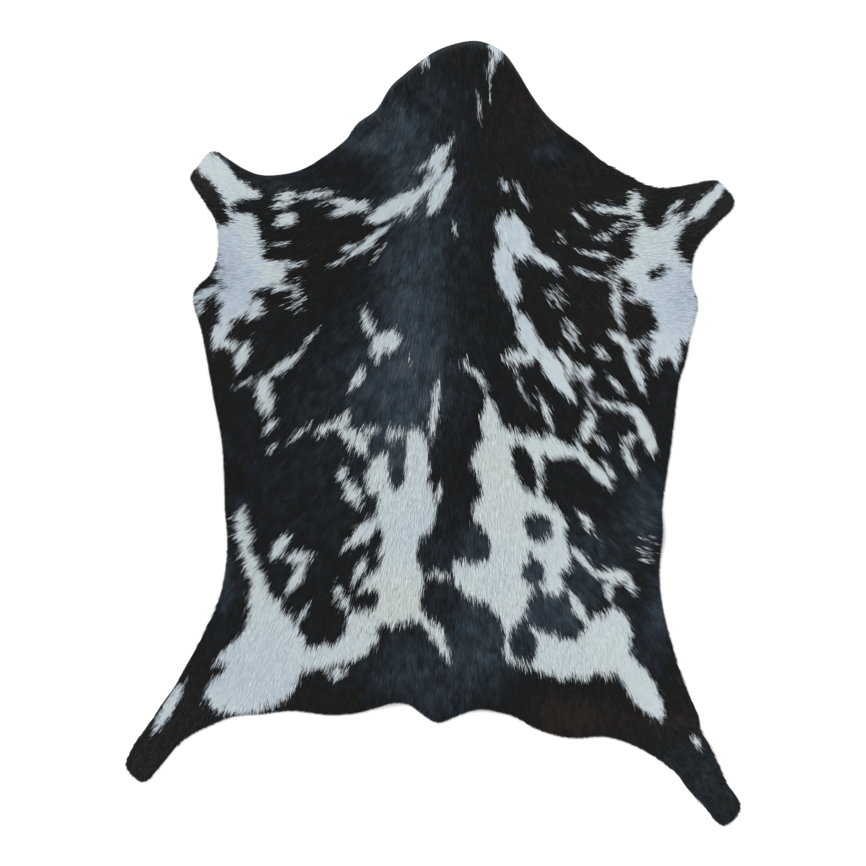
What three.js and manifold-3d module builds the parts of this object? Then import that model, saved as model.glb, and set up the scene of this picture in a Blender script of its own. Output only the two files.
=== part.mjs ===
// A natural goatskin rug: one whole tanned hide with its hair on, lying flat on the floor.
// Millimetres, +Z up. +Y runs along the spine to the neck, and +X is towards the right foreleg as seen
// from above. The origin is under the middle of the hide, at the centre of its box, on the floor.
import * as THREE from "three";
import { mergeVertices } from "three/addons/utils/BufferGeometryUtils.js";
import Module from "manifold-3d";

// ---- Driving dimensions -------------------------------------------------------------------------

const HIDE_WIDTH = 740; // between the tips of the hind legs
const HIDE_LENGTH = 944; // from the top of the neck to the tip of the right hind leg
const LEATHER_THICKNESS = 1.4;
const COAT_DEPTH = 4; // the hair as it lies brushed flat
const RIM_THICKNESS = 2.6; // leather and the thin last rows of hair at the cut edge
const RIM_WIDTH = 7; // the coat thins towards the cut edge over this width
const GRID_STEP = 16; // facet size of the leather where it buckles
const EDGE_STEP = 8; // facet size along the cut edge
const CUT_MARGIN = 20; // how far the cutting wall stands clear above and below the hide

const HIDE_THICKNESS = LEATHER_THICKNESS + COAT_DEPTH;

// ---- The cut edge -------------------------------------------------------------------------------

// The hide's outline goes anticlockwise from the top of the neck. Each stretch holds the points that a
// smooth line passes through, as x and y.
const CUT_EDGE = {
  neckLeftSide: [
    [50, 472], [22, 467], [0, 458], [-17, 446], [-33, 433], [-50, 417], [-60, 402], [-68, 389],
    [-80, 380], [-93, 370], [-103, 355], [-120, 341], [-141, 326], [-160, 316], [-185, 311],
  ],
  leftForeleg: [
    [-208, 311], [-228, 319], [-245, 330], [-261, 339], [-272, 335], [-281, 322], [-293, 307],
    [-288, 297], [-273, 274], [-261, 254],
  ],
  leftArmpit: [
    [-258, 228], [-260, 207], [-268, 190], [-280, 179], [-288, 169], [-288, 157],
  ],
  leftFlank: [
    [-278, 122], [-270, 80], [-263, 40], [-255, 0], [-251, -40], [-250, -90], [-247, -130],
    [-251, -175], [-258, -202],
  ],
  leftHindLegOuterSide: [
    [-271, -230], [-284, -255], [-299, -281], [-311, -303], [-327, -325], [-340, -346],
    [-358, -370], [-367, -388], [-370, -399],
  ],
  leftHindLegInnerSide: [
    [-358, -414], [-346, -420], [-333, -408], [-318, -390], [-300, -369], [-288, -361],
    [-270, -352], [-240, -340], [-205, -337], [-170, -333], [-125, -338],
  ],
  rump: [
    [-92, -336], [-70, -330], [-50, -324], [-30, -325], [-12, -338], [5, -348], [20, -343],
    [40, -335], [57, -331], [80, -335], [100, -341], [120, -353], [145, -362],
  ],
  rightHindLegInnerSide: [
    [172, -366], [205, -364], [237, -373], [268, -390], [290, -407], [304, -427], [322, -445],
    [338, -465], [349, -472],
  ],
  rightHindLegOuterSide: [
    [362, -463], [370, -448], [362, -430], [352, -418], [345, -400], [337, -384], [330, -368],
    [321, -355], [319, -338], [303, -302], [290, -264], [279, -225],
  ],
  rightFlank: [
    [273, -190], [272, -160], [276, -118], [275, -92], [279, -60], [285, -20], [290, 20],
    [295, 60], [304, 90], [308, 112],
  ],
  rightArmpit: [
    [315, 138], [318, 157], [311, 178], [310, 195], [314, 215],
  ],
  rightForeleg: [
    [325, 234], [345, 254], [361, 270], [362, 281], [352, 293], [342, 304], [325, 302],
    [300, 298], [278, 294], [256, 298],
  ],
  neckRightSide: [
    [236, 309], [218, 318], [200, 330], [183, 345], [160, 361], [139, 380], [120, 405],
    [102, 435], [86, 457], [70, 467],
  ],
};

// The smooth closed line through every stretch, as points about EDGE_STEP apart, stretched by the
// last fraction of a millimetre so that the hide has its driving width and length about the origin.
function cutEdge() {
  const through = Object.values(CUT_EDGE).flat().map(([x, y]) => new THREE.Vector3(x, y, 0));
  const line = new THREE.CatmullRomCurve3(through, true, "centripetal");
  const count = Math.round(line.getLength() / EDGE_STEP);
  const points = line.getSpacedPoints(count).slice(0, count);
  const box = new THREE.Box3().setFromPoints(points);
  const middle = box.getCenter(new THREE.Vector3());
  const size = box.getSize(new THREE.Vector3());
  const fit = new THREE.Vector3(HIDE_WIDTH / size.x, HIDE_LENGTH / size.y, 1);
  return points.map((p) => p.sub(middle).multiply(fit));
}

// ---- Buckles ------------------------------------------------------------------------------------

// Dried leather never lies dead flat. Each buckle is a soft ridge that stands off the floor along the
// line between two points: half its width, and its height at the end where it is tallest.
const BUCKLES = [
  { name: "neckLeftUpper", from: [-62, 424], to: [6, 352], halfWidth: 24, height: 8 },
  { name: "neckLeftLower", from: [-104, 386], to: [-48, 334], halfWidth: 22, height: 7 },
  { name: "neckRight", from: [176, 366], to: [104, 318], halfWidth: 26, height: 7 },
  { name: "leftForelegRoot", from: [-158, 326], to: [-164, 286], halfWidth: 18, height: 4 },
  { name: "rightForelegRoot", from: [276, 304], to: [262, 268], halfWidth: 20, height: 4 },
  { name: "leftFlankFold", from: [-262, -26], to: [-206, -76], halfWidth: 20, height: 6 },
  { name: "leftHock", from: [-262, -206], to: [-232, -176], halfWidth: 24, height: 5 },
  { name: "rightFlankFold", from: [284, -112], to: [236, -152], halfWidth: 22, height: 6 },
  { name: "rightHock", from: [338, -368], to: [300, -392], halfWidth: 20, height: 5 },
  { name: "rumpLeft", from: [-52, -334], to: [-44, -292], halfWidth: 24, height: 5 },
  { name: "rumpRight", from: [64, -342], to: [58, -300], halfWidth: 24, height: 4 },
];

// The buckle's height over a point: full height along its outer third, then falling away to nothing
// at its inner end, with a rounded section across.
function heightOf(buckle, x, y) {
  const from = new THREE.Vector2(...buckle.from);
  const along = new THREE.Vector2(...buckle.to).sub(from);
  const away = new THREE.Vector2(x, y).sub(from);
  const share = away.dot(along) / along.lengthSq();
  const off = Math.abs(away.cross(along)) / along.length();
  const section = Math.max(0, 1 - (off / buckle.halfWidth) ** 2) ** 2;
  return buckle.height * section * (1 - THREE.MathUtils.smoothstep(share, 1 / 3, 1));
}

function liftAt(x, y) {
  return BUCKLES.reduce((lift, buckle) => Math.max(lift, heightOf(buckle, x, y)), 0);
}

// ---- Solids -------------------------------------------------------------------------------------

const wasm = await Module();
wasm.setup();

function solidFrom(geometry) {
  const bare = new THREE.BufferGeometry();
  bare.setAttribute("position", geometry.getAttribute("position"));
  bare.setIndex(geometry.getIndex());
  const merged = mergeVertices(bare, 1e-4);
  return new wasm.Manifold(
    new wasm.Mesh({
      numProp: 3,
      vertProperties: new Float32Array(merged.getAttribute("position").array),
      triVerts: new Uint32Array(merged.getIndex().array),
    }),
  );
}

function geometryFrom(solid) {
  const mesh = solid.getMesh();
  const geometry = new THREE.BufferGeometry();
  geometry.setAttribute("position", new THREE.BufferAttribute(mesh.vertProperties, 3));
  geometry.setIndex(new THREE.BufferAttribute(mesh.triVerts, 1));
  geometry.computeVertexNormals();
  return geometry;
}

// An uncut blank of leather and coat, larger than the hide all round, that follows the buckles.
function blank() {
  const width = HIDE_WIDTH + 2 * CUT_MARGIN;
  const length = HIDE_LENGTH + 2 * CUT_MARGIN;
  const columns = Math.round(width / GRID_STEP);
  const rows = Math.round(length / GRID_STEP);
  const geometry = new THREE.BoxGeometry(width, length, HIDE_THICKNESS, columns, rows, 1);
  geometry.translate(0, 0, HIDE_THICKNESS / 2);
  const place = geometry.getAttribute("position");
  for (let i = 0; i < place.count; i++) {
    place.setZ(i, place.getZ(i) + liftAt(place.getX(i), place.getY(i)));
  }
  return solidFrom(geometry);
}

// The point moved square to the edge, towards the inside of the hide.
function movedInwards(edge, i, distance) {
  const before = edge[(i + edge.length - 1) % edge.length];
  const after = edge[(i + 1) % edge.length];
  const along = after.clone().sub(before).normalize();
  return new THREE.Vector3(edge[i].x - along.y * distance, edge[i].y + along.x * distance, 0);
}

// The inside of the cutting wall. It stands upright as high as the rim, leans in over the coat's
// last RIM_WIDTH, and then stands upright again, so that it takes the blank to its outline.
function cutter() {
  const edge = cutEdge();
  const inner = edge.map((_, i) => movedInwards(edge, i, RIM_WIDTH));
  const roof = HIDE_THICKNESS + Math.max(...BUCKLES.map((b) => b.height)) + CUT_MARGIN;
  const rings = [
    edge.map((p) => [p.x, p.y, -CUT_MARGIN]),
    edge.map((p) => [p.x, p.y, liftAt(p.x, p.y) + RIM_THICKNESS]),
    inner.map((p) => [p.x, p.y, liftAt(p.x, p.y) + HIDE_THICKNESS]),
    inner.map((p) => [p.x, p.y, roof]),
  ];
  const count = edge.length;
  const triangles = [];
  for (let ring = 0; ring + 1 < rings.length; ring++) {
    for (let i = 0; i < count; i++) {
      const low = ring * count + i;
      const lowNext = ring * count + ((i + 1) % count);
      triangles.push(low, lowNext, low + count, lowNext, lowNext + count, low + count);
    }
  }
  const top = (rings.length - 1) * count;
  const flat = (points) => points.map((p) => new THREE.Vector2(p.x, p.y));
  for (const [a, b, c] of THREE.ShapeUtils.triangulateShape(flat(edge), [])) {
    triangles.push(a, c, b);
  }
  for (const [a, b, c] of THREE.ShapeUtils.triangulateShape(flat(inner), [])) {
    triangles.push(top + a, top + b, top + c);
  }
  const geometry = new THREE.BufferGeometry();
  geometry.setAttribute("position", new THREE.Float32BufferAttribute(rings.flat(2), 3));
  geometry.setIndex(triangles);
  return solidFrom(geometry);
}

// ---- The hide -----------------------------------------------------------------------------------

function goatskin() {
  const hair = new THREE.MeshStandardMaterial({ color: 0x24282c, roughness: 0.62, metalness: 0 });
  const hide = new THREE.Mesh(geometryFrom(blank().intersect(cutter())), hair);
  hide.name = "goatskin";
  return hide;
}

const rug = new THREE.Group();
rug.add(goatskin());

export default rug;
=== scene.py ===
import math
from collections import namedtuple

import bmesh
import bpy
import numpy as np
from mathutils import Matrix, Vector
from mathutils.bvhtree import BVHTree
from mathutils.geometry import delaunay_2d_cdt


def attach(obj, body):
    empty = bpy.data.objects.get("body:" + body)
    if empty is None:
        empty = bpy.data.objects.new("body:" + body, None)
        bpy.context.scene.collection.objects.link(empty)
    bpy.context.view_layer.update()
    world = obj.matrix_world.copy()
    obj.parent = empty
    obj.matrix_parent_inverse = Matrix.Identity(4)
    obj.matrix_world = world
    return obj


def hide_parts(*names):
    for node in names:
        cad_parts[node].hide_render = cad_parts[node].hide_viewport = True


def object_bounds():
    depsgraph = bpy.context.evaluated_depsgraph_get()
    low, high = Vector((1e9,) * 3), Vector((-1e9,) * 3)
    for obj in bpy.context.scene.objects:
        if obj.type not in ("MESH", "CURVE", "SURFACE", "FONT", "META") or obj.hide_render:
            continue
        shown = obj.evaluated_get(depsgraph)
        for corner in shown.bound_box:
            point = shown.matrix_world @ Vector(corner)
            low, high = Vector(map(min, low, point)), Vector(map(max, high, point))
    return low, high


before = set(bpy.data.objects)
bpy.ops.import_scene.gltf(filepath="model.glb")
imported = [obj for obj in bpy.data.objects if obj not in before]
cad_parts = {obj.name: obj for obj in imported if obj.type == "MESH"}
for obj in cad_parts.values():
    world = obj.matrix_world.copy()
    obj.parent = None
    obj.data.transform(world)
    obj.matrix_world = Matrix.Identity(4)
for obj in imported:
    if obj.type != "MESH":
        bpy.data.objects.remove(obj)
cad_low, cad_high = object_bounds()

# ---- Tanned skin ---------------------------------------------------------------------------------
# The hide itself: one goatskin, chrome tanned, shaved to an even thickness on the flesh side and
# trimmed by hand all round. It lies flat, but its edge has dried into a few soft buckles.

MM = 0.001
SKIN_THICKNESS = 1.4 * MM
SKIN_INSIDE_COAT = 1.2 * MM  # the cut edge lies this far inside the coat's outline
SKIN_MESH_STEP = 5.2 * MM
EDGE_MESH_STEP = 3.0 * MM
EDGE_SMOOTHING = 3.5 * MM
FACES_DOWN = -0.6  # a face whose normal points lower than this is underside
STANDS_UPRIGHT = 0.5  # a face whose normal rises and falls less than this is upright cut


def solid_copy(name):
    """The construction solid's mesh with its corners joined, as a bmesh."""
    solid = bmesh.new()
    solid.from_mesh(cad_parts[name].data)
    bmesh.ops.remove_doubles(solid, verts=solid.verts, dist=1e-6)
    solid.normal_update()
    return solid


def cut_edge_of(solid):
    """The corners round the underside, in order, where it meets the upright cut."""
    onward = {}
    for edge in solid.edges:
        slopes = sorted(face.normal.z for face in edge.link_faces)
        if slopes[0] < FACES_DOWN and abs(slopes[-1]) < STANDS_UPRIGHT:
            a, b = edge.verts
            onward.setdefault(a, []).append(b)
            onward.setdefault(b, []).append(a)
    start = min(onward, key=lambda v: (v.co.y, v.co.x))
    loop, last, here = [start], None, start
    while True:
        ahead = next(v for v in onward[here] if v is not last)
        if ahead is start:
            break
        loop.append(ahead)
        last, here = here, ahead
    points = np.array([(v.co.x, v.co.y) for v in loop])
    x, y = points.T
    turns_left = np.sum(x * np.roll(y, -1) - y * np.roll(x, -1)) > 0
    return points if turns_left else points[::-1]


def evenly(points, step):
    """A closed line's points, moved to an even step."""
    closed = np.vstack([points, points[:1]])
    along = np.concatenate([[0], np.cumsum(np.linalg.norm(np.diff(closed, axis=0), axis=1))])
    places = np.linspace(0, along[-1], int(round(along[-1] / step)), endpoint=False)
    return np.column_stack([np.interp(places, along, closed[:, axis]) for axis in (0, 1)])


def softened(points, step, width):
    """A closed line with its corners rounded off over the given width."""
    reach = int(round(3 * width / step))
    weights = np.exp(-0.5 * (np.arange(-reach, reach + 1) * step / width) ** 2)
    shifted = [w * np.roll(points, k, axis=0) for k, w in zip(range(-reach, reach + 1), weights)]
    return sum(shifted) / weights.sum()


def moved_in(points, distance):
    """A closed line, anticlockwise, moved square to itself towards its inside."""
    along = np.roll(points, -1, axis=0) - np.roll(points, 1, axis=0)
    along /= np.linalg.norm(along, axis=1)[:, None]
    return points + distance * np.column_stack([-along[:, 1], along[:, 0]])


solid = solid_copy("goatskin")
solid_surface = BVHTree.FromBMesh(solid)
coat_outline = softened(evenly(cut_edge_of(solid), 1 * MM), 1 * MM, EDGE_SMOOTHING)
solid.free()
skin_outline = evenly(moved_in(coat_outline, SKIN_INSIDE_COAT), EDGE_MESH_STEP)


def inside(points, outline):
    """Which points lie inside a closed outline."""
    x, y = points.T
    within = np.zeros(len(points), dtype=bool)
    for (ax, ay), (bx, by) in zip(outline, np.roll(outline, -1, axis=0)):
        if ay == by:
            continue
        crosses = (ay > y) != (by > y)
        within ^= crosses & (x < ax + (bx - ax) * (y - ay) / (by - ay))
    return within


def honeycomb(outline, step, margin):
    """Points in even rows, every other row shifted, that fill an outline up to a margin."""
    low, high = outline.min(axis=0), outline.max(axis=0)
    row_step = step * math.sqrt(3) / 2
    rows = np.arange(low[1], high[1], row_step)
    columns = np.arange(low[0], high[0], step)
    x = columns[None, :] + np.where(np.arange(len(rows)) % 2, step / 2, 0)[:, None]
    y = np.broadcast_to(rows[:, None], x.shape)
    points = np.column_stack([x.ravel(), y.ravel()])
    return points[inside(points, moved_in(outline, margin))]


def floor_gap(x, y):
    """How far a buckle holds the underside off the floor, smoothed over a thumb's width."""
    reach = 7 * MM
    around = [(0, 0), (reach, 0), (-reach, 0), (0, reach), (0, -reach)]
    heights = []
    for dx, dy in around:
        start = Vector((x + dx, y + dy, -10 * MM))
        hit = solid_surface.ray_cast(start, Vector((0, 0, 1)))[0]
        if hit is not None:
            heights.append(hit.z)
    return float(np.mean(heights)) if heights else 0.0


def skin_mesh():
    """The skin as a closed sheet: hair side, flesh side and the cut between them."""
    rim = [Vector(p) for p in skin_outline]
    middle = [Vector(p) for p in honeycomb(skin_outline, SKIN_MESH_STEP, 0.6 * SKIN_MESH_STEP)]
    count = len(rim)
    edges = [(i, (i + 1) % count) for i in range(count)]
    flat, _, triangles, *_ = delaunay_2d_cdt(rim + middle, edges, [], 1, 1e-7)
    gaps = [floor_gap(*p) for p in flat]
    sheet = bmesh.new()
    under = [sheet.verts.new((p.x, p.y, gap)) for p, gap in zip(flat, gaps)]
    over = [sheet.verts.new((p.x, p.y, gap + SKIN_THICKNESS)) for p, gap in zip(flat, gaps)]
    for a, b, c in triangles:
        sheet.faces.new((over[a], over[b], over[c]))
        sheet.faces.new((under[a], under[c], under[b])).material_index = 1
    for a, b in edges:
        sheet.faces.new((under[a], under[b], over[b], over[a])).material_index = 1
    bmesh.ops.recalc_face_normals(sheet, faces=sheet.faces)
    mesh = bpy.data.meshes.new("tanned_skin")
    sheet.to_mesh(mesh)
    sheet.free()
    return mesh


skin = bpy.data.objects.new("tanned_skin", skin_mesh())
bpy.context.collection.objects.link(skin)

# ---- How the hair lies ---------------------------------------------------------------------------
# The coat is short and lies flat, as it grew: down the neck and back, out over the flanks, and down
# each leg to its end. It is longest on the back and shortest on the lower legs.

# Where the coat is brushed to, at places on the hide: x and y in millimetres, and a heading in
# degrees, where 0 is across to the right foreleg's side and 90 is up to the neck.
LIE = {
    "neck": [
        (50, 465, -90), (0, 440, -93), (-40, 400, -100), (110, 400, -75), (-80, 365, -115),
        (40, 340, -90), (140, 360, -62), (160, 320, -45), (-100, 315, -135),
    ],
    "left shoulder": [
        (-150, 305, -150), (-180, 280, -165), (-110, 275, -158), (-65, 264, -145), (-30, 278, -128),
        (6, 325, -122), (14, 296, -110), (-180, 225, -168), (-80, 226, -146), (-165, 165, -160),
        (-120, 150, -140),
    ],
    "left foreleg": [
        (-205, 300, 178), (-238, 290, 150), (-268, 315, 125), (-255, 262, 160), (-230, 220, 181),
        (-250, 190, 186), (-275, 165, -155), (-245, 140, -125), (-265, 110, -115),
    ],
    "back": [
        (-20, 220, -100), (30, 240, -90), (0, 150, -92), (60, 300, -88), (-30, 80, -97),
        (30, 0, -90), (40, 75, -80), (55, 65, -65), (68, 0, -84), (-40, -40, -96),
        (-20, -150, -92), (60, -120, -86), (0, -205, -90),
    ],
    "left barrel": [
        (-60, 105, -108), (-75, 130, -120), (-95, 60, -120), (-150, 110, -135), (-190, 75, -130),
        (-205, 40, -118), (-120, 10, -112), (-240, 0, -110), (-180, -5, -130), (-105, -68, -126),
        (-170, -84, -132), (-66, -20, -106), (-230, -60, -120),
    ],
    "left haunch": [
        (-80, -140, -117), (-233, -114, -155), (-215, -150, -138), (-182, -135, -125),
        (-161, -162, -115), (-195, -200, -114), (-262, -230, -122), (-118, -198, -125),
        (-84, -205, -100), (-100, -250, -105), (-220, -270, -106), (-101, -290, -115),
        (-191, -324, -95), (-266, -320, -118), (-330, -360, -130),
    ],
    "right shoulder": [
        (90, 192, -67), (130, 205, -42), (112, 280, -58), (143, 162, -50), (180, 252, -45),
        (205, 285, -17), (192, 202, -22), (172, 125, -47),
    ],
    "right foreleg": [
        (245, 275, -8), (285, 262, 38), (335, 280, 45), (300, 290, 20), (270, 208, -3),
        (300, 150, -8), (260, 150, -20), (230, 130, -60), (300, 100, -62),
    ],
    "right barrel": [
        (115, 100, -62), (108, 43, -60), (140, 85, -55), (215, 98, -45), (235, 75, -62),
        (185, 65, -50), (290, 40, -78), (108, -42, -67), (135, 20, -68), (225, 30, -50),
        (250, -15, -69), (190, 0, -60), (150, -30, -52), (198, -50, -50),
    ],
    "right haunch": [
        (90, -110, -80), (125, -115, -72), (180, -103, -52), (243, -100, -48), (247, -125, -35),
        (262, -138, 2), (273, -128, 22), (262, -165, -8), (238, -168, -33), (120, -170, -80),
        (167, -180, -58), (195, -170, -46), (210, -218, -65), (250, -228, -64), (160, -250, -80),
        (97, -240, -76), (180, -290, -85), (246, -285, -65), (288, -330, -59), (320, -410, -51),
    ],
    "rump": [(36, -260, -89), (-20, -320, -91), (150, -340, -94), (220, -345, -80)],
}
LIE_REACH = 14  # how sharply one place's heading gives way to the next, in millimetres

# How long the hair is, in millimetres, at places on the hide: x, y and length.
HAIR_LENGTHS = [
    (0, 100, 16), (0, -200, 16), (50, 450, 12), (-150, 0, 15), (150, 0, 15), (-200, -250, 14),
    (200, -250, 14), (-230, 220, 11), (280, 200, 11), (-275, 315, 7), (340, 280, 7),
    (-330, -370, 9), (-355, -400, 8), (320, -400, 9), (350, -450, 8), (0, -330, 14),
]
LENGTH_REACH = 30  # how sharply one place's length gives way to the next, in millimetres


def heading_at(x, y):
    """The direction that the coat lies in, as its two parts across and along the hide."""
    rows = np.array([row for part in LIE.values() for row in part], dtype=float)
    turn = np.radians(rows[:, 2])
    across, along = np.zeros_like(x), np.zeros_like(x)
    for (px, py, _), c, s in zip(rows, np.cos(turn), np.sin(turn)):
        near = 1 / ((x - px) ** 2 + (y - py) ** 2 + LIE_REACH**2) ** 1.5
        across += near * c
        along += near * s
    size = np.hypot(across, along)
    return across / size, along / size


def length_at(x, y):
    """The hair's length in millimetres."""
    total, weight = np.zeros_like(x), np.zeros_like(x)
    for px, py, length in HAIR_LENGTHS:
        near = 1 / ((x - px) ** 2 + (y - py) ** 2 + LENGTH_REACH**2) ** 1.5
        total += near * length
        weight += near
    return total / weight


# ---- Black and white markings --------------------------------------------------------------------
# A black goat with white patches, streaks and flecks. A row is one marking or, where a patch has
# lobes, one lobe of it. The rows only set the markings out: the growth of the coat, worked out
# below, makes their rims ragged and lays the flecks.

# The x and y of a marking's middle, its length and width, all in millimetres, the heading that it
# runs in, and how far it bends, both in degrees.
Marking = namedtuple("Marking", "x y length width heading bend", defaults=[0])

WHITE_PATCHES = {
    "neck": [(75, 460, 35, 20, 95)],
    "left foreleg": [(-255, 305, 90, 38, 130), (-230, 290, 42, 24, 150)],
    "left armpit": [
        (-235, 225, 100, 60, 100), (-220, 190, 85, 42, 0), (-240, 160, 60, 44, 65),
        (-255, 122, 50, 20, 65), (-250, 106, 35, 14, 155),
    ],
    "left shoulder": [
        (-177, 284, 28, 14, 10), (-178, 256, 26, 18, 25), (-45, 270, 80, 22, 28),
        (-5, 298, 60, 15, 52), (6, 328, 40, 20, 52),
    ],
    "left barrel": [(-56, 107, 38, 25, 5), (-202, 42, 50, 22, 100)],
    "left loin": [
        (-120, 5, 45, 15, 12), (-92, -12, 55, 20, 138), (-60, -3, 55, 14, 176),
        (-67, -52, 54, 30, 78), (-20, -40, 90, 32, 92), (-33, -95, 108, 74, 92),
        (-42, -170, 120, 58, 90), (-48, -198, 88, 74, 0), (-78, -225, 75, 34, 20),
        (0, -239, 85, 18, 130, 50),
    ],
    "left haunch": [
        (-118, -264, 115, 38, 18), (-202, -265, 110, 100, 90), (-219, -308, 114, 62, 12),
        (-203, -205, 70, 40, 95), (-217, -170, 75, 18, 112), (-231, -118, 52, 20, 97),
        (-184, -138, 36, 17, 55), (-163, -152, 38, 16, 10),
    ],
    "right shoulder": [(98, 233, 62, 38, 120), (89, 188, 78, 28, 103), (130, 208, 56, 14, 145)],
    "right armpit": [
        (272, 218, 95, 64, 90), (270, 185, 100, 60, 0), (292, 150, 95, 62, 90),
        (280, 110, 48, 38, 100), (294, 264, 34, 16, 75), (319, 266, 106, 18, 47),
        (246, 271, 40, 20, 110), (226, 110, 36, 14, 145),
    ],
    "right barrel": [
        (114, 115, 54, 24, 110), (106, 89, 46, 17, 12), (184, 70, 24, 18, 20),
    ],
    "right flank": [
        (222, 30, 54, 12, 164), (254, 0, 66, 17, 112), (187, 3, 34, 20, 64), (235, -14, 26, 12, 55),
    ],
    "right loin": [
        (85, -60, 130, 84, 90), (105, -110, 115, 75, 175), (86, -175, 112, 74, 105),
        (56, -182, 80, 44, 145), (95, -232, 70, 26, 108), (115, -260, 50, 60, 100),
        (142, -153, 95, 50, 95), (181, -154, 46, 10, 130), (217, -173, 50, 18, 175),
        (135, -18, 85, 24, 168), (194, -45, 70, 14, 135), (124, -50, 75, 22, 92),
    ],
    "right haunch": [(165, -268, 130, 58, 176), (210, -252, 86, 60, 85), (247, -303, 104, 36, 122)],
}

BLACK_PATCHES = {
    "left foreleg": [(-267, 280, 68, 22, 122), (-211, 271, 60, 16, 178)],
    "left armpit": [(-270, 143, 38, 25, 100)],
    "left loin": [
        (-66, -14, 38, 19, 60), (-44, -42, 54, 20, 88), (-86, -150, 42, 36, 160),
        (-82, -203, 32, 25, 8), (1, -147, 48, 38, 95), (10, -206, 54, 46, 95),
    ],
    "left haunch": [
        (-182, -179, 52, 40, 105), (-134, -229, 60, 54, 150), (-166, -208, 26, 20, 115),
        (-243, -238, 50, 22, 50),
    ],
    "right loin": [
        (42, -68, 44, 32, 95), (50, -135, 46, 38, 110), (52, -250, 90, 68, 100),
        (111, -45, 58, 23, 112), (127, -115, 34, 29, 120), (121, -171, 32, 26, 90),
        (109, -256, 50, 29, 98),
    ],
    "right haunch": [(148, -222, 78, 47, 155), (184, -192, 70, 32, 135), (230, -201, 40, 24, 10)],
    "right armpit": [
        (313, 233, 46, 34, 78), (248, 135, 46, 36, 150), (233, 171, 22, 18, 90),
        (267, 268, 46, 32, 95), (305, 272, 28, 11, 40), (271, 192, 24, 9, 48),
    ],
}

WHITE_STREAKS = {
    "neck": [
        (70, 436, 40, 9, 88), (-9, 447, 26, 11, 62), (56, 386, 36, 4, 94), (86, 294, 22, 8, 122),
        (108, 282, 38, 7, 122),
    ],
    "left armpit": [
        (-182, 201, 60, 11, 178), (-182, 174, 50, 9, 2), (-216, 147, 36, 22, 58),
        (-229, 90, 46, 18, 70), (-275, 166, 56, 14, 28), (-280, 147, 26, 8, 76),
    ],
    "left shoulder": [
        (-182, 274, 32, 9, 8), (-184, 227, 26, 6, 2), (-142, 286, 46, 10, 6),
        (-100, 272, 60, 19, 168), (-112, 265, 30, 9, 25), (8, 287, 74, 22, 65),
        (-10, 322, 38, 7, 38), (-30, 264, 28, 9, 50), (20, 342, 26, 6, 70), (-80, 226, 84, 11, 36),
        (-103, 222, 30, 9, 12), (-120, 202, 24, 8, 28),
    ],
    "left barrel": [
        (-77, 127, 48, 14, 118), (-68, 96, 36, 14, 84), (-93, 62, 38, 14, 58),
        (-180, 80, 70, 14, 38), (-225, 58, 36, 6, 18), (-197, 5, 24, 10, 42), (-163, -4, 40, 7, 38),
    ],
    "left loin": [
        (-107, 17, 26, 12, 72), (-85, -122, 70, 20, 42), (-90, -170, 42, 12, 68),
        (-110, -202, 44, 14, 125), (-110, -50, 24, 14, 56), (-98, -74, 44, 18, 126),
        (1, 24, 88, 12, 84), (6, -75, 32, 9, 80),
        (9, -174, 60, 9, 178),
    ],
    "left haunch": [
        (-162, -172, 66, 14, 60), (-115, -290, 34, 12, 14), (-158, -221, 26, 9, 62),
        (-317, -330, 82, 15, 58), (-250, -270, 36, 14, 38),
    ],
    "right shoulder": [(146, 198, 28, 10, 118), (100, 254, 22, 9, 118), (178, 254, 26, 9, 132)],
    "right armpit": [
        (215, 267, 60, 11, 176), (230, 250, 42, 9, 22), (200, 213, 55, 8, 170),
        (207, 234, 24, 8, 22), (190, 189, 45, 9, 165), (221, 158, 78, 11, 100),
        (238, 160, 42, 8, 165), (268, 90, 42, 12, 80), (290, 92, 36, 14, 104),
    ],
    "right barrel": [
        (146, 73, 98, 24, 122), (100, 140, 34, 8, 118), (106, 54, 56, 6, 112, -40), (163, 80, 48, 12, 114),
        (189, 50, 48, 8, 122), (203, 95, 30, 10, 140), (222, 55, 28, 9, 125),
        (248, 106, 26, 11, 25), (242, 82, 90, 15, 110),
    ],
    "right flank": [
        (70, 6, 74, 24, 96), (138, 20, 50, 11, 108), (55, 66, 60, 11, 130, 60),
        (191, 27, 30, 6, 118), (202, -13, 28, 6, 148), (238, -37, 38, 12, 108),
        (180, -25, 36, 10, 120), (210, -48, 32, 11, 108),
    ],
    "right haunch": [
        (212, -193, 30, 11, 100), (238, -186, 28, 10, 108), (185, -108, 44, 11, 128),
        (176, -213, 54, 14, 115), (317, -371, 22, 9, 110),
    ],
}

# Places where strands of white hair lie scattered among the black. The key says how thickly they lie.
FLECKED_PLACES = {
    0.3: [
        (-165, 160, 70, 28, 95), (-28, 88, 28, 10, 108), (155, 232, 34, 22, 110),
        (168, 118, 46, 30, 120), (258, -143, 44, 26, 100),
    ],
    0.55: [
        (26, 243, 28, 11, 105), (68, 413, 36, 5, 92), (-140, 271, 34, 14, 15),
        (-68, 212, 30, 11, 52), (-150, 112, 26, 9, 48), (-194, -20, 24, 12, 50),
        (147, 163, 36, 22, 135),
    ],
}


FIELD_SIDE = 400  # how many patches a random field has each way
STREAK_STEPS = 9  # how many places a streaky field is averaged over
STREAK_CONTRAST = 2.2  # brings the average back to about -1 to 1
STRAND_WIDTH = 3  # of the strands in flecked places, in millimetres
STRAND_REACH = 9  # how far they run each way, in millimetres
FLECK_MARGIN = 0.35  # how much more freely strands lie in the middle of a place


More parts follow.
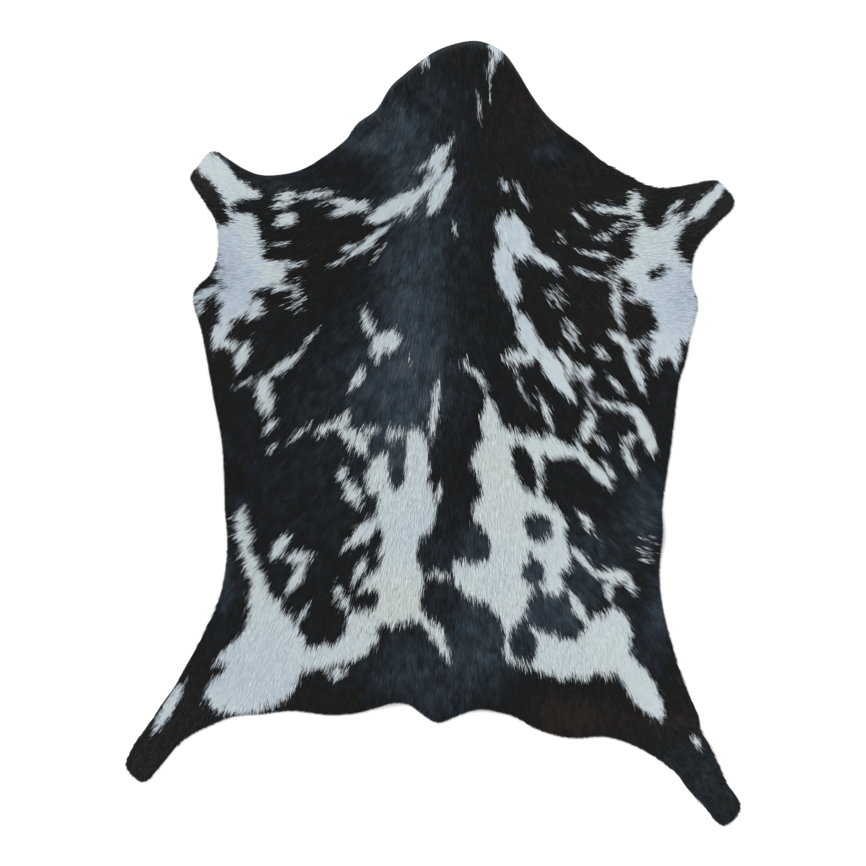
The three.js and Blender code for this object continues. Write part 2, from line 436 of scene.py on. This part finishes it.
def patchy(x, y, size, seed):
    """A smooth random field from -1 to 1, with patches of about the given size."""
    grid = np.random.default_rng(seed).uniform(-1, 1, (FIELD_SIDE, FIELD_SIDE))
    u, v = x / size + FIELD_SIDE // 2, y / size + FIELD_SIDE // 2
    i, j = (np.floor(place).astype(int) % (FIELD_SIDE - 1) for place in (u, v))
    s, t = u - np.floor(u), v - np.floor(v)
    s, t = s * s * (3 - 2 * s), t * t * (3 - 2 * t)
    low = grid[i, j] * (1 - s) + grid[i + 1, j] * s
    high = grid[i, j + 1] * (1 - s) + grid[i + 1, j + 1] * s
    return low * (1 - t) + high * t


def streaky(x, y, across, along, size, reach, seed):
    """A random field from about -1 to 1 that is drawn out along the lie of the coat."""
    steps = np.linspace(-reach, reach, STREAK_STEPS)
    fields = [patchy(x + k * across, y + k * along, size, seed) for k in steps]
    return STREAK_CONTRAST * np.mean(fields, axis=0)


def along_and_across(marking, x, y):
    """A point's place along a marking's bent middle line and square to it, from its middle."""
    c, s = math.cos(math.radians(marking.heading)), math.sin(math.radians(marking.heading))
    u = (x - marking.x) * c + (y - marking.y) * s
    v = (y - marking.y) * c - (x - marking.x) * s
    return u, v - math.radians(marking.bend) * u**2 / (2 * marking.length)


def outside_patches(patches, x, y):
    """How far a point is outside oval patches, in millimetres, and below 0 inside them."""
    least = np.full_like(x, 1e3)
    for marking in (Marking(*row) for rows in patches.values() for row in rows):
        u, v = along_and_across(marking, x, y)
        a, b = marking.length / 2, marking.width / 2
        ring = np.hypot(u / a, v / b)
        steepness = np.maximum(np.hypot(u / a**2, v / b**2), 1e-6)
        np.minimum(least, ring * (ring - 1) / steepness, out=least)
    return least


def outside_streaks(streaks, x, y):
    """How far a point is outside streaks, which are pointed at both ends, and below 0 inside."""
    least = np.full_like(x, 1e3)
    for marking in (Marking(*row) for rows in streaks.values() for row in rows):
        u, v = along_and_across(marking, x, y)
        a, b = marking.length / 2, marking.width / 2
        edge = b * (1 - (u / a) ** 2)
        least = np.minimum(least, (np.abs(v) - edge) / np.hypot(1, 2 * b * u / a**2))
    return least


def flecked(x, y, across, along):
    """Where a strand of white hair lies in one of the flecked places, which thin out at the rim."""
    strands = streaky(x, y, across, along, STRAND_WIDTH, STRAND_REACH, seed=21)
    white = np.zeros(len(x), dtype=bool)
    for share, rows in FLECKED_PLACES.items():
        least = np.quantile(strands, 1 - share)
        for place in (Marking(*row) for row in rows):
            u, v = along_and_across(place, x, y)
            ring = np.hypot(2 * u / place.length, 2 * v / place.width)
            white |= strands > least + ring**2 - FLECK_MARGIN
    return white


# All in millimetres. A rim wanders in broad waves with small ones on them.
BROAD_WAVE, BROAD_WAVE_LENGTH = 1.5, 24
SMALL_WAVE, SMALL_WAVE_LENGTH = 1.6, 9
BLACK_OVERLAP = 1.2  # how far black hair lies over the rim of the white


def wandering(x, y, broad_seed, small_seed):
    """How far a rim is off its line, one way, at each point."""
    broad = BROAD_WAVE * patchy(x, y, BROAD_WAVE_LENGTH, broad_seed)
    return broad + SMALL_WAVE * patchy(x, y, SMALL_WAVE_LENGTH, small_seed)


def outside_white(x, y):
    """How far a point is outside the white markings, whose rims wander a few millimetres."""
    x, y = x + wandering(x, y, 5, 6), y + wandering(x, y, 7, 8)
    white = outside_patches(WHITE_PATCHES, x, y)
    black = outside_patches(BLACK_PATCHES, x, y)
    outside = np.minimum(np.maximum(white, -black), outside_streaks(WHITE_STREAKS, x, y))
    return outside + BLACK_OVERLAP


# ---- The coat's pigment and painted sheen --------------------------------------------------------
# The black hair is brown-black at the legs and the rear edge, and has a painted blue-grey sheen
# down the back and over the rump. The white hair is bluish in the armpits and creamy over the loins.

PIGMENT_AND_SHEEN_STOPS = [  # place on the scale from 0 to 1, and colour
    (0.02, "#2A2522"),
    (0.10, "#1C1A18"),
    (0.20, "#171A1B"),
    # Painted sheen: the blue-grey stops at 0.30 and 0.42 are the black hair's sheen, painted into its
    # colour.
    (0.30, "#222930"),
    (0.42, "#394650"),
    (0.50, "#535C65"),
    (0.60, "#8D9299"),
    (0.70, "#BFCDDB"),
    (0.80, "#D2DCE0"),
    (0.90, "#D4DBD8"),
    (0.98, "#D2CFC2"),
]

# Soft changes of tone: the x and y of the middle, the reach across and along the hide, all in
# millimetres, and the shift on the scale. Black hair goes blue-grey upwards, mostly a painted sheen,
# and brown downwards. White hair goes creamy upwards and bluish downwards.
Tone = namedtuple("Tone", "x y across along shift")

BLACK_TONES_SHEEN_AND_SHADE = [
    (-22, 200, 38, 150, 0.20), (-60, 345, 60, 45, 0.10), (20, -20, 36, 60, 0.02),
    (60, -250, 36, 60, 0.165), (148, -222, 34, 26, 0.155), (52, -135, 20, 26, 0.165),
    (127, -115, 18, 18, 0.17), (121, -173, 18, 18, 0.165), (-60, 50, 60, 60, 0.13),
    (-25, -275, 40, 40, 0.115), (185, -135, 44, 30, 0.09), (174, -184, 26, 20, 0.10),
    (-44, -42, 14, 34, 0.07), (245, -80, 26, 36, 0.15), (2, -147, 16, 22, 0.07),
    (170, -330, 90, 28, -0.17), (-150, -325, 60, 20, -0.06), (-320, -350, 60, 60, -0.05),
    (-255, 60, 25, 120, -0.03), (120, 380, 60, 60, -0.12), (250, 300, 90, 30, -0.06),
    (200, 150, 60, 60, -0.08), (-280, 290, 30, 30, -0.05), (110, 20, 40, 60, -0.05),
    # Painted shade and highlight: the rows at (300, -345), (-22, 412) and (-34, 352) darken a dimple on
    # the right hind leg and the creases of the neck, and those at (320, -400) and (-34, 388) lighten the
    # ridges beside them.
    (320, -400, 40, 50, 0.06), (300, -345, 14, 14, -0.12), (-22, 412, 14, 20, -0.10),
    (-34, 388, 9, 16, 0.12), (-34, 352, 16, 12, -0.05), (-68, 352, 24, 8, 0.10),
    (135, 342, 26, 12, 0.22), (-246, -165, 9, 40, 0.16), (268, -205, 9, 36, 0.17),
    (-226, -76, 7, 8, 0.14), (-232, -52, 8, 16, -0.10), (-150, 295, 40, 22, 0.09),
    (-150, -60, 70, 50, 0.03), (240, -255, 16, 40, 0.11), (0, 420, 40, 24, 0.05),
    (-90, 312, 35, 18, -0.12), (-80, 245, 28, 12, -0.14), (22, -25, 18, 36, -0.10),
    (0, -315, 30, 18, 0.09), (175, -72, 36, 22, -0.04), (-150, 215, 40, 50, -0.07),
    (-230, 122, 14, 14, -0.10),
]
WHITE_TONES = [
    (-245, 190, 30, 40, -0.125), (300, 165, 30, 40, -0.115), (-30, -120, 30, 40, -0.03),
    (90, -130, 25, 25, -0.03), (-40, -190, 40, 30, 0.08), (80, -60, 30, 60, 0.05),
    (100, 200, 30, 60, -0.05), (-200, -275, 60, 45, -0.04), (9, -174, 14, 8, -0.10),
    (0, 290, 60, 50, -0.03),
]


BLACK_PLACE, WHITE_PLACE = 0.20, 0.81  # plain black and plain white hair on the scale
BLACK_RANGE, WHITE_RANGE = (0.01, 0.48), (0.62, 0.985)
GREY_RANGE = (0.52, 0.63)  # hair of mixed pigment
GREY_REACH = 2.5  # how far from a rim it grows, in millimetres
GREY_FROM = 0.7  # it is the hairs whose chance, from 0 to 1, is over this
FLECK_WHITE, FLECK_GREY = 0.65, 0.25  # in a fleck, the hairs whose chance is under these
TIP_SHARE = 0.8  # how far along it a hair shows
LOCK_RAGGEDNESS = 4.5  # how far locks carry a marking along the lie, in millimetres
HAIR_RAGGEDNESS = 2.4  # how far single hairs do
RIM_STRANDS = 1.8  # how far strands push a rim in and out
RIM_HAIRS = 0.6  # how far single hairs do


def tone_shift(table, x, y):
    """The sum of the table's soft patches at each point."""
    total = np.zeros_like(x)
    for tone in (Tone(*row) for row in table):
        ring = ((x - tone.x) / tone.across) ** 2 + ((y - tone.y) / tone.along) ** 2
        total += tone.shift * np.exp(-0.5 * ring)
    return total


def pigment_and_sheen_at(x, y, across, along, length, rng):
    """Each hair's place on the scale of pigments and painted sheen. A hair shows where its tip lies over
    the next ones.
    """
    streak = streaky(x, y, across, along, 2.4, 9, seed=11)
    strand = streaky(x, y, across, along, 1.8, 7, seed=14)
    shown = TIP_SHARE * length + LOCK_RAGGEDNESS * streak + rng.normal(0, HAIR_RAGGEDNESS, len(x))
    sx, sy = x + shown * across, y + shown * along
    outside = outside_white(sx, sy) + RIM_STRANDS * strand + rng.normal(0, RIM_HAIRS, len(x))
    chance = rng.random(len(x))
    fleck = flecked(sx, sy, across, along) & (chance < FLECK_WHITE)
    white = (outside < 0) | fleck
    grey = ((np.abs(outside) < GREY_REACH) & (chance > GREY_FROM)) | (fleck & (chance < FLECK_GREY))
    # Painted sheen: a mottle about 7 mm across that turns the black hair blue-grey in patches. In the
    # white hair it only shifts the tone a little.
    sheen_and_tone_mottle = streaky(x, y, across, along, 7, 3, seed=12)
    fine = streaky(x, y, across, along, 2.2, 3, seed=13)
    cloud = patchy(x, y, 35, seed=8)
    black_tone = BLACK_PLACE + tone_shift(BLACK_TONES_SHEEN_AND_SHADE, x, y)
    black_tone += 0.03 * sheen_and_tone_mottle + 0.035 * fine + 0.02 * cloud + rng.normal(0, 0.025, len(x))
    white_tone = WHITE_PLACE + tone_shift(WHITE_TONES, x, y)
    white_tone += 0.01 * sheen_and_tone_mottle + 0.02 * cloud + rng.normal(0, 0.02, len(x))
    tone = np.where(white, np.clip(white_tone, *WHITE_RANGE), np.clip(black_tone, *BLACK_RANGE))
    return np.where(grey, rng.uniform(*GREY_RANGE, len(x)), tone)


# ---- Hair coat -----------------------------------------------------------------------------------
# Short straight guard hair, which lies in fine pointed locks. Each lock is a closed sliver with a
# ridge, pointed at its root and tip, set in the skin at a low slant and overlapping the next.

LOCK_COUNT = 222000
LOCK_WIDTH = 1.0 * MM
LOCK_DEPTH = 0.4 * MM
ROOT_SINK = 0.3 * MM  # the root starts inside the skin
OVERHANG = 0.8 * MM  # how far tips pass the outline
SHORTEST_LOCK = 2.5 * MM
WIDEST_PLACE = 0.4  # how far along it a lock is widest, as a share of its length
SLANT, SLANT_SPREAD = math.radians(8), math.radians(5)  # how steeply the tip rises off the skin
TURN_SPREAD = math.radians(9)
ROLL_SPREAD = math.radians(22)
WIDTH_SPREAD = (0.65, 1.25)
LENGTH_SPREAD = (0.75, 1.15)
ROOT_SCATTER = 0.4  # how far roots stray from even rows, as a share of the step
CLEAR = 100 * MM  # farther than any lock reaches, up or across
COAT_PARTS = ["neck", "shoulders", "barrel", "loins", "rump"]


def linear(code):
    """A colour in hex as the linear values that the shaders use."""
    parts = [int(code[i : i + 2], 16) / 255 for i in (1, 3, 5)]
    return tuple(c / 12.92 if c <= 0.04045 else ((c + 0.055) / 1.055) ** 2.4 for c in parts) + (1,)


def add_node(tree, kind, values=None, links=None, **settings):
    """Adds a node with its settings, its sockets' values and the sockets that feed it."""
    node = tree.nodes.new(kind)
    for name, value in settings.items():
        setattr(node, name, value)
    for socket, value in (values or {}).items():
        node.inputs[socket].default_value = value
    for socket, source in (links or {}).items():
        tree.links.new(source, node.inputs[socket])
    return node


def pigment_and_sheen_colour(tree, place):
    """The scale of pigments and painted sheen as a colour ramp, fed by a place from 0 to 1."""
    ramp = add_node(tree, "ShaderNodeValToRGB", links={0: place})
    stops = ramp.color_ramp.elements
    while len(stops) > 1:
        stops.remove(stops[-1])
    stops[0].position, stops[0].color = PIGMENT_AND_SHEEN_STOPS[0][0], linear(PIGMENT_AND_SHEEN_STOPS[0][1])
    for position, code in PIGMENT_AND_SHEEN_STOPS[1:]:
        stops.new(position).color = linear(code)
    return ramp.outputs["Color"]


def hair_material():
    """Goat hair: keratin, IOR 1.55, glossy along its length. Its colour darkens towards the root, painted
    shade for the shade of its neighbours.
    """
    material = bpy.data.materials.new("goat_hair")
    material.use_nodes = True
    tree = material.node_tree
    shader = tree.nodes["Principled BSDF"]
    coat_map = add_node(tree, "ShaderNodeUVMap", uv_map="OFBake")
    parts = add_node(tree, "ShaderNodeSeparateXYZ", links={0: coat_map.outputs[0]})
    pigment = pigment_and_sheen_colour(tree, parts.outputs["X"])
    # Painted shade: the colour is multiplied down to 0.85 at a lock's root, for its neighbours' shade.
    tip = add_node(
        tree, "ShaderNodeMapRange", {"To Min": 0.85, "To Max": 1.0}, {"Value": parts.outputs["Y"]}
    )
    tip.inputs["From Max"].default_value = 0.5
    shaded = add_node(
        tree,
        "ShaderNodeMix",
        {0: 1.0},
        {6: pigment, 7: tip.outputs[0]},
        data_type="RGBA",
        blend_type="MULTIPLY",
    )
    gloss = add_node(
        tree, "ShaderNodeMapRange", {"To Min": 0.46, "To Max": 0.62}, {"Value": parts.outputs["X"]}
    )
    tree.links.new(shaded.outputs[2], shader.inputs["Base Color"])
    tree.links.new(gloss.outputs[0], shader.inputs["Roughness"])
    shader.inputs["IOR"].default_value = 1.55
    shader.inputs["Specular IOR Level"].default_value = 0.06
    return material


def lock_shape():
    """One lock, a unit long and wide: a sliver with four corners that lies along its ridge."""
    corners = [(0, 0, 0), (1, 0, 0), (WIDEST_PLACE, 0.5, -0.5), (WIDEST_PLACE, -0.5, -0.5)]
    faces = [(0, 1, 2), (1, 0, 3), (0, 2, 3), (2, 1, 3)]
    spots = [(0, 0), (0, 1), (0.002, WIDEST_PLACE), (-0.002, WIDEST_PLACE)]
    mesh = bpy.data.meshes.new("lock")
    mesh.from_pydata(corners, [], faces)
    coat_map = mesh.uv_layers.new(name="OFBake")
    for loop in mesh.loops:
        coat_map.data[loop.index].uv = spots[loop.vertex_index]
    shape = bmesh.new()
    shape.from_mesh(mesh)
    bmesh.ops.recalc_face_normals(shape, faces=shape.faces)
    shape.to_mesh(mesh)
    shape.free()
    return bpy.data.objects.new("lock", mesh)


def lock_layer():
    """Lays one lock on each root, along the coat, with small turns of its own, as one mesh."""
    tree = bpy.data.node_groups.new("lock_layer", "GeometryNodeTree")
    sockets = [
        ("Roots", "Geometry"), ("Lock", "Object"), ("Width", "Float"), ("Depth", "Float"),
        ("Slant", "Float"), ("Slant Spread", "Float"), ("Turn Spread", "Float"),
        ("Roll Spread", "Float"), ("Seed", "Int"), ("Hair", "Material"),
    ]
    for name, kind in sockets:
        tree.interface.new_socket(name, in_out="INPUT", socket_type="NodeSocket" + kind)
    tree.interface.new_socket("Coat", in_out="OUTPUT", socket_type="NodeSocketGeometry")
    given = add_node(tree, "NodeGroupInput").outputs

    def own(name, kind="FLOAT"):
        node = add_node(tree, "GeometryNodeInputNamedAttribute", {"Name": name}, data_type=kind)
        return node.outputs["Attribute"]

    def sum_of(a, b, operation="ADD"):
        return add_node(tree, "ShaderNodeMath", links={0: a, 1: b}, operation=operation).outputs[0]

    def spread(size, number):
        seed = add_node(tree, "ShaderNodeMath", {1: number}, {0: given["Seed"]}).outputs[0]
        least = add_node(tree, "ShaderNodeMath", {1: -1}, {0: size}, operation="MULTIPLY").outputs[0]
        node = add_node(tree, "FunctionNodeRandomValue", links={2: least, 3: size, "Seed": seed})
        return node.outputs[1]

    rise = sum_of(sum_of(own("slope"), given["Slant"]), spread(given["Slant Spread"], 1))
    dip = add_node(tree, "ShaderNodeMath", {1: -1}, {0: rise}, operation="MULTIPLY").outputs[0]
    heading = sum_of(own("heading"), spread(given["Turn Spread"], 2))
    turn = add_node(
        tree, "ShaderNodeCombineXYZ", links={0: spread(given["Roll Spread"], 3), 1: dip, 2: heading}
    )
    wide = add_node(
        tree,
        "FunctionNodeRandomValue",
        {2: WIDTH_SPREAD[0], 3: WIDTH_SPREAD[1]},
        {"Seed": given["Seed"]},
    ).outputs[1]
    width = sum_of(given["Width"], wide, "MULTIPLY")
    size = add_node(
        tree, "ShaderNodeCombineXYZ", links={0: own("lock_length"), 1: width, 2: given["Depth"]}
    )
    lock = add_node(tree, "GeometryNodeObjectInfo", links={"Object": given["Lock"]})
    laid = add_node(
        tree,
        "GeometryNodeInstanceOnPoints",
        links={
            "Points": given["Roots"],
            "Instance": lock.outputs["Geometry"],
            "Rotation": turn.outputs[0],
            "Scale": size.outputs[0],
        },
    )
    whole = add_node(tree, "GeometryNodeRealizeInstances", links={0: laid.outputs[0]})
    place = add_node(tree, "ShaderNodeCombineXYZ", links={0: own("pigment")}).outputs[0]
    mapped = add_node(
        tree, "ShaderNodeVectorMath", links={0: own("OFBake", "FLOAT_VECTOR"), 1: place}
    )
    stored = add_node(
        tree,
        "GeometryNodeStoreNamedAttribute",
        {"Name": "OFBake"},
        {"Geometry": whole.outputs[0]},
        data_type="FLOAT2",
        domain="CORNER",
    )
    tree.links.new(mapped.outputs[0], stored.inputs["Value"])
    finish = add_node(
        tree,
        "GeometryNodeSetMaterial",
        links={"Geometry": stored.outputs[0], "Material": given["Hair"]},
    )
    add_node(tree, "NodeGroupOutput", links={0: finish.outputs[0]})
    return tree


def root_field(rng):
    """Every lock's root on the skin, with how it lies, its length and its place on the scale."""
    x, y = skin_outline.T
    area = abs(np.sum(x * np.roll(y, -1) - y * np.roll(x, -1))) / 2
    step = math.sqrt(area / LOCK_COUNT * 2 / math.sqrt(3))
    places = honeycomb(skin_outline, step, 0.3 * step)
    places += rng.uniform(-ROOT_SCATTER, ROOT_SCATTER, places.shape) * step
    x, y = places.T / MM
    across, along = heading_at(x, y)
    length = length_at(x, y) * rng.uniform(*LENGTH_SPREAD, len(x))
    pigment = pigment_and_sheen_at(x, y, across, along, length, rng)
    return places, across, along, length * MM, pigment


def hold_inside(places, across, along, length, rng):
    """The locks' lengths, cut back so that the tips end at the coat's trimmed outline."""
    count = len(coat_outline)
    ends = [(*p, z) for z in (-1, 1) for p in coat_outline]
    walls = [(i, (i + 1) % count, count + (i + 1) % count, count + i) for i in range(count)]
    wall = BVHTree.FromPolygons(ends, walls)
    room = np.empty(len(places))
    for i, ((x, y), dx, dy) in enumerate(zip(places, across, along)):
        hit = wall.ray_cast(Vector((x, y, 0)), Vector((dx, dy, 0)))
        room[i] = CLEAR if hit[3] is None else hit[3]
    return np.minimum(length, room + OVERHANG * rng.uniform(-0.5, 1.5, len(places)))


def on_skin(places, across, along):
    """Each root's height on the hair side, and the slope of the skin along the lock."""
    surface = BVHTree.FromObject(skin, bpy.context.evaluated_depsgraph_get())
    height, slope = np.full(len(places), SKIN_THICKNESS), np.zeros(len(places))
    for i, ((x, y), dx, dy) in enumerate(zip(places, across, along)):
        spot, normal, *_ = surface.ray_cast(Vector((x, y, CLEAR)), Vector((0, 0, -1)))
        if spot is not None:
            height[i] = spot.z
            slope[i] = math.atan2(-(normal.x * dx + normal.y * dy), normal.z)
    return height - ROOT_SINK, slope


def roots_object(name, places, height, facts):
    """A mesh of loose points, one for each root, that carries what the lock layer reads."""
    mesh = bpy.data.meshes.new(name)
    mesh.from_pydata(np.column_stack([places, height]).tolist(), [], [])
    for fact, values in facts.items():
        mesh.attributes.new(fact, "FLOAT", "POINT").data.foreach_set("value", values)
    return bpy.data.objects.new(name, mesh)


def coat_piece(name, roots, lock, layer, hair, seed):
    """Runs the lock layer on some roots and keeps its result as a plain mesh."""
    bpy.context.collection.objects.link(roots)
    modifier = roots.modifiers.new("lock_layer", "NODES")
    modifier.node_group = layer
    sizes = {
        "Lock": lock, "Width": LOCK_WIDTH, "Depth": LOCK_DEPTH, "Slant": SLANT,
        "Slant Spread": SLANT_SPREAD, "Turn Spread": TURN_SPREAD, "Roll Spread": ROLL_SPREAD,
        "Seed": seed, "Hair": hair,
    }
    for socket in layer.interface.items_tree:
        if socket.name in sizes:
            modifier[socket.identifier] = sizes[socket.name]
    evaluated = roots.evaluated_get(bpy.context.evaluated_depsgraph_get())
    mesh = bpy.data.meshes.new_from_object(evaluated)
    bpy.data.objects.remove(roots)
    mesh.name = name
    piece = bpy.data.objects.new(name, mesh)
    bpy.context.collection.objects.link(piece)
    return piece


rng = np.random.default_rng(20)
places, across, along, length, pigment = root_field(rng)
length = hold_inside(places, across, along, length, rng)
kept = length > SHORTEST_LOCK
places, across, along, length, pigment = (a[kept] for a in (places, across, along, length, pigment))
height, slope = on_skin(places, across, along)
heading = np.arctan2(along, across)
lock, layer, hair = lock_shape(), lock_layer(), hair_material()
bpy.context.collection.objects.link(lock)
coat = []
from_neck_to_rump = np.array_split(np.argsort(-places[:, 1]), len(COAT_PARTS))
for seed, (part, those) in enumerate(zip(COAT_PARTS, from_neck_to_rump)):
    facts = {"heading": heading, "slope": slope, "lock_length": length, "pigment": pigment}
    facts = {fact: values[those] for fact, values in facts.items()}
    roots = roots_object("roots_" + part, places[those], height[those], facts)
    coat.append(coat_piece("coat_of_" + part, roots, lock, layer, hair, seed))
bpy.data.objects.remove(lock)
for piece in coat:
    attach(piece, "root")

# ---- The skin's two sides ------------------------------------------------------------------------
# Between the hairs shows the dense down at the skin, darkened with painted shade for the hair over
# it. The flesh side is pale chrome-tanned suede with a short nap, and so is the cut edge.


def down_material():
    """Goat down, IOR 1.55, matt: the colour scale darkened by a quarter, painted shade for the hair above
    it.
    """
    material = bpy.data.materials.new("goat_down")
    material.use_nodes = True
    tree = material.node_tree
    shader = tree.nodes["Principled BSDF"]
    place = add_node(tree, "ShaderNodeAttribute", attribute_name="pigment").outputs["Fac"]
    # Painted shade: the down's colour is multiplied by 0.75 for the shade of the hair over it.
    painted_shade_under_hair = add_node(
        tree,
        "ShaderNodeMix",
        {0: 1.0, 7: (0.75, 0.75, 0.75, 1)},
        {6: pigment_and_sheen_colour(tree, place)},
        data_type="RGBA",
        blend_type="MULTIPLY",
    )
    tree.links.new(painted_shade_under_hair.outputs[2], shader.inputs["Base Color"])
    shader.inputs["Roughness"].default_value = 0.85
    shader.inputs["IOR"].default_value = 1.55
    return material


def suede_material():
    """Chrome-tanned goat suede: a pale grey-buff leather with a half-millimetre nap, quite matt."""
    material = bpy.data.materials.new("goat_suede")
    material.use_nodes = True
    tree = material.node_tree
    shader = tree.nodes["Principled BSDF"]
    spot = add_node(tree, "ShaderNodeTexCoord").outputs["Object"]
    cloud = add_node(
        tree, "ShaderNodeTexNoise", {"Scale": 1 / (60 * MM), "Detail": 4.0}, {"Vector": spot}
    )
    nap = add_node(
        tree, "ShaderNodeTexNoise", {"Scale": 1 / (1.2 * MM), "Detail": 3.0}, {"Vector": spot}
    )
    both = add_node(
        tree, "ShaderNodeMath", {2: 0.0}, {0: cloud.outputs["Fac"], 1: nap.outputs["Fac"]}
    )
    shade = add_node(tree, "ShaderNodeMapRange", {1: 0.7, 2: 1.3}, {0: both.outputs[0]})
    ramp = add_node(tree, "ShaderNodeValToRGB", links={0: shade.outputs[0]})
    ramp.color_ramp.elements[0].color = linear("#B3A998")
    ramp.color_ramp.elements[1].color = linear("#DAD2C4")
    relief = add_node(
        tree, "ShaderNodeBump", {"Strength": 0.5, "Distance": 0.3 * MM},
        {"Height": nap.outputs["Fac"]},
    )
    tree.links.new(ramp.outputs["Color"], shader.inputs["Base Color"])
    tree.links.new(relief.outputs[0], shader.inputs["Normal"])
    shader.inputs["Roughness"].default_value = 0.9
    shader.inputs["Sheen Weight"].default_value = 0.2
    return material


def tint_skin():
    """Gives the skin's corners their place on the scale of pigments and painted sheen, and its two sides a
    flat map.
    """
    mesh = skin.data
    spots = np.empty(len(mesh.vertices) * 3)
    mesh.vertices.foreach_get("co", spots)
    spots = spots.reshape(-1, 3)
    x, y = spots[:, 0] / MM, spots[:, 1] / MM
    across, along = heading_at(x, y)
    chance = np.random.default_rng(3)
    values = pigment_and_sheen_at(x, y, across, along, np.zeros_like(x), chance)
    mesh.attributes.new("pigment", "FLOAT", "POINT").data.foreach_set("value", values)
    low, high = spots.min(axis=0), spots.max(axis=0)
    coat_map = mesh.uv_layers.new(name="OFBake")
    for face in mesh.polygons:
        for loop in face.loop_indices:
            corner = spots[mesh.loops[loop].vertex_index]
            u, v = (corner[:2] - low[:2]) / (high[:2] - low[:2])
            if abs(face.normal.z) < 0.3:
                coat_map.data[loop].uv = (0.49 + 8 * (corner[2] - low[2]), v)
            else:
                coat_map.data[loop].uv = (0.48 * u + (0 if face.normal.z > 0 else 0.52), v)


tint_skin()
skin.data.materials.append(down_material())
skin.data.materials.append(suede_material())
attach(skin, "root")
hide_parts("goatskin")
width, length = (cad_high - cad_low).xy

# ---- Floor, light and camera ---------------------------------------------------------------------
# A sheet of matt white studio paper under soft light from the upper left, in an even pale
# surround. The hide is seen from straight above.

FLOOR_LIFT = 0.12  # what the floor gives out where it is seen, which brings it to clear white
SURROUND_LIGHT = 0.72
FLOOR_REACH = 4  # from the middle to each side, in metres
FLOOR_DROP = 0.2 * MM  # keeps the floor just clear of the underside
CAMERA_HEIGHT = 2.6
VIEW_WIDTH = 1039.2 * MM  # the width of floor in view


def seen_directly(tree):
    """1 where the camera, a reflection or a see-through part shows a surface, and 0 elsewhere."""
    ray = add_node(tree, "ShaderNodeLightPath").outputs
    seen = add_node(
        tree, "ShaderNodeMath", links={0: ray["Is Camera Ray"], 1: ray["Is Glossy Ray"]}
    ).outputs[0]
    return add_node(
        tree, "ShaderNodeMath", links={0: seen, 1: ray["Is Transmission Ray"]}, use_clamp=True
    ).outputs[0]


def floor_material():
    """Matt white studio paper: to the camera and in reflections it is lifted to clear white."""
    material = bpy.data.materials.new("studio_paper")
    material.use_nodes = True
    tree = material.node_tree
    shader = tree.nodes["Principled BSDF"]
    shader.inputs["Base Color"].default_value = linear("#F4F4F4")
    shader.inputs["Roughness"].default_value = 0.9
    shader.inputs["Emission Color"].default_value = (1, 1, 1, 1)
    lift = add_node(
        tree, "ShaderNodeMath", {1: FLOOR_LIFT}, {0: seen_directly(tree)}, operation="MULTIPLY"
    )
    tree.links.new(lift.outputs[0], shader.inputs["Emission Strength"])
    return material


def studio_world():
    """An even pale surround: it lights the hide softly, and is clear white where it is seen."""
    world = bpy.data.worlds.new("studio")
    world.use_nodes = True
    tree = world.node_tree
    sky = tree.nodes["Background"]
    strength = add_node(
        tree,
        "ShaderNodeMapRange",
        {"To Min": SURROUND_LIGHT, "To Max": 1.0},
        {0: seen_directly(tree)},
    )
    sky.inputs["Color"].default_value = (1, 1, 1, 1)
    tree.links.new(strength.outputs[0], sky.inputs["Strength"])
    return world


floor_mesh = bpy.data.meshes.new("floor")
square = [(-1, -1), (1, -1), (1, 1), (-1, 1)]
floor_corners = [(x * FLOOR_REACH, y * FLOOR_REACH, cad_low.z - FLOOR_DROP) for x, y in square]
floor_mesh.from_pydata(floor_corners, [], [(0, 1, 2, 3)])
floor_mesh.materials.append(floor_material())
floor = bpy.data.objects.new("floor", floor_mesh)
bpy.context.collection.objects.link(floor)

scene = bpy.context.scene
scene.world = studio_world()
scene.view_settings.view_transform = "Standard"

lamp = bpy.data.lights.new("window_light", "SUN")
lamp.energy = 1.65
lamp.angle = math.radians(25)
window = bpy.data.objects.new("window_light", lamp)
window.rotation_euler = (math.radians(-28), math.radians(-32), 0)
bpy.context.collection.objects.link(window)

lens = bpy.data.cameras.new("camera")
lens.lens = lens.sensor_width * CAMERA_HEIGHT / VIEW_WIDTH
camera = bpy.data.objects.new("camera", lens)
camera.location = (0, 0, CAMERA_HEIGHT)
bpy.context.collection.objects.link(camera)
scene.camera = camera
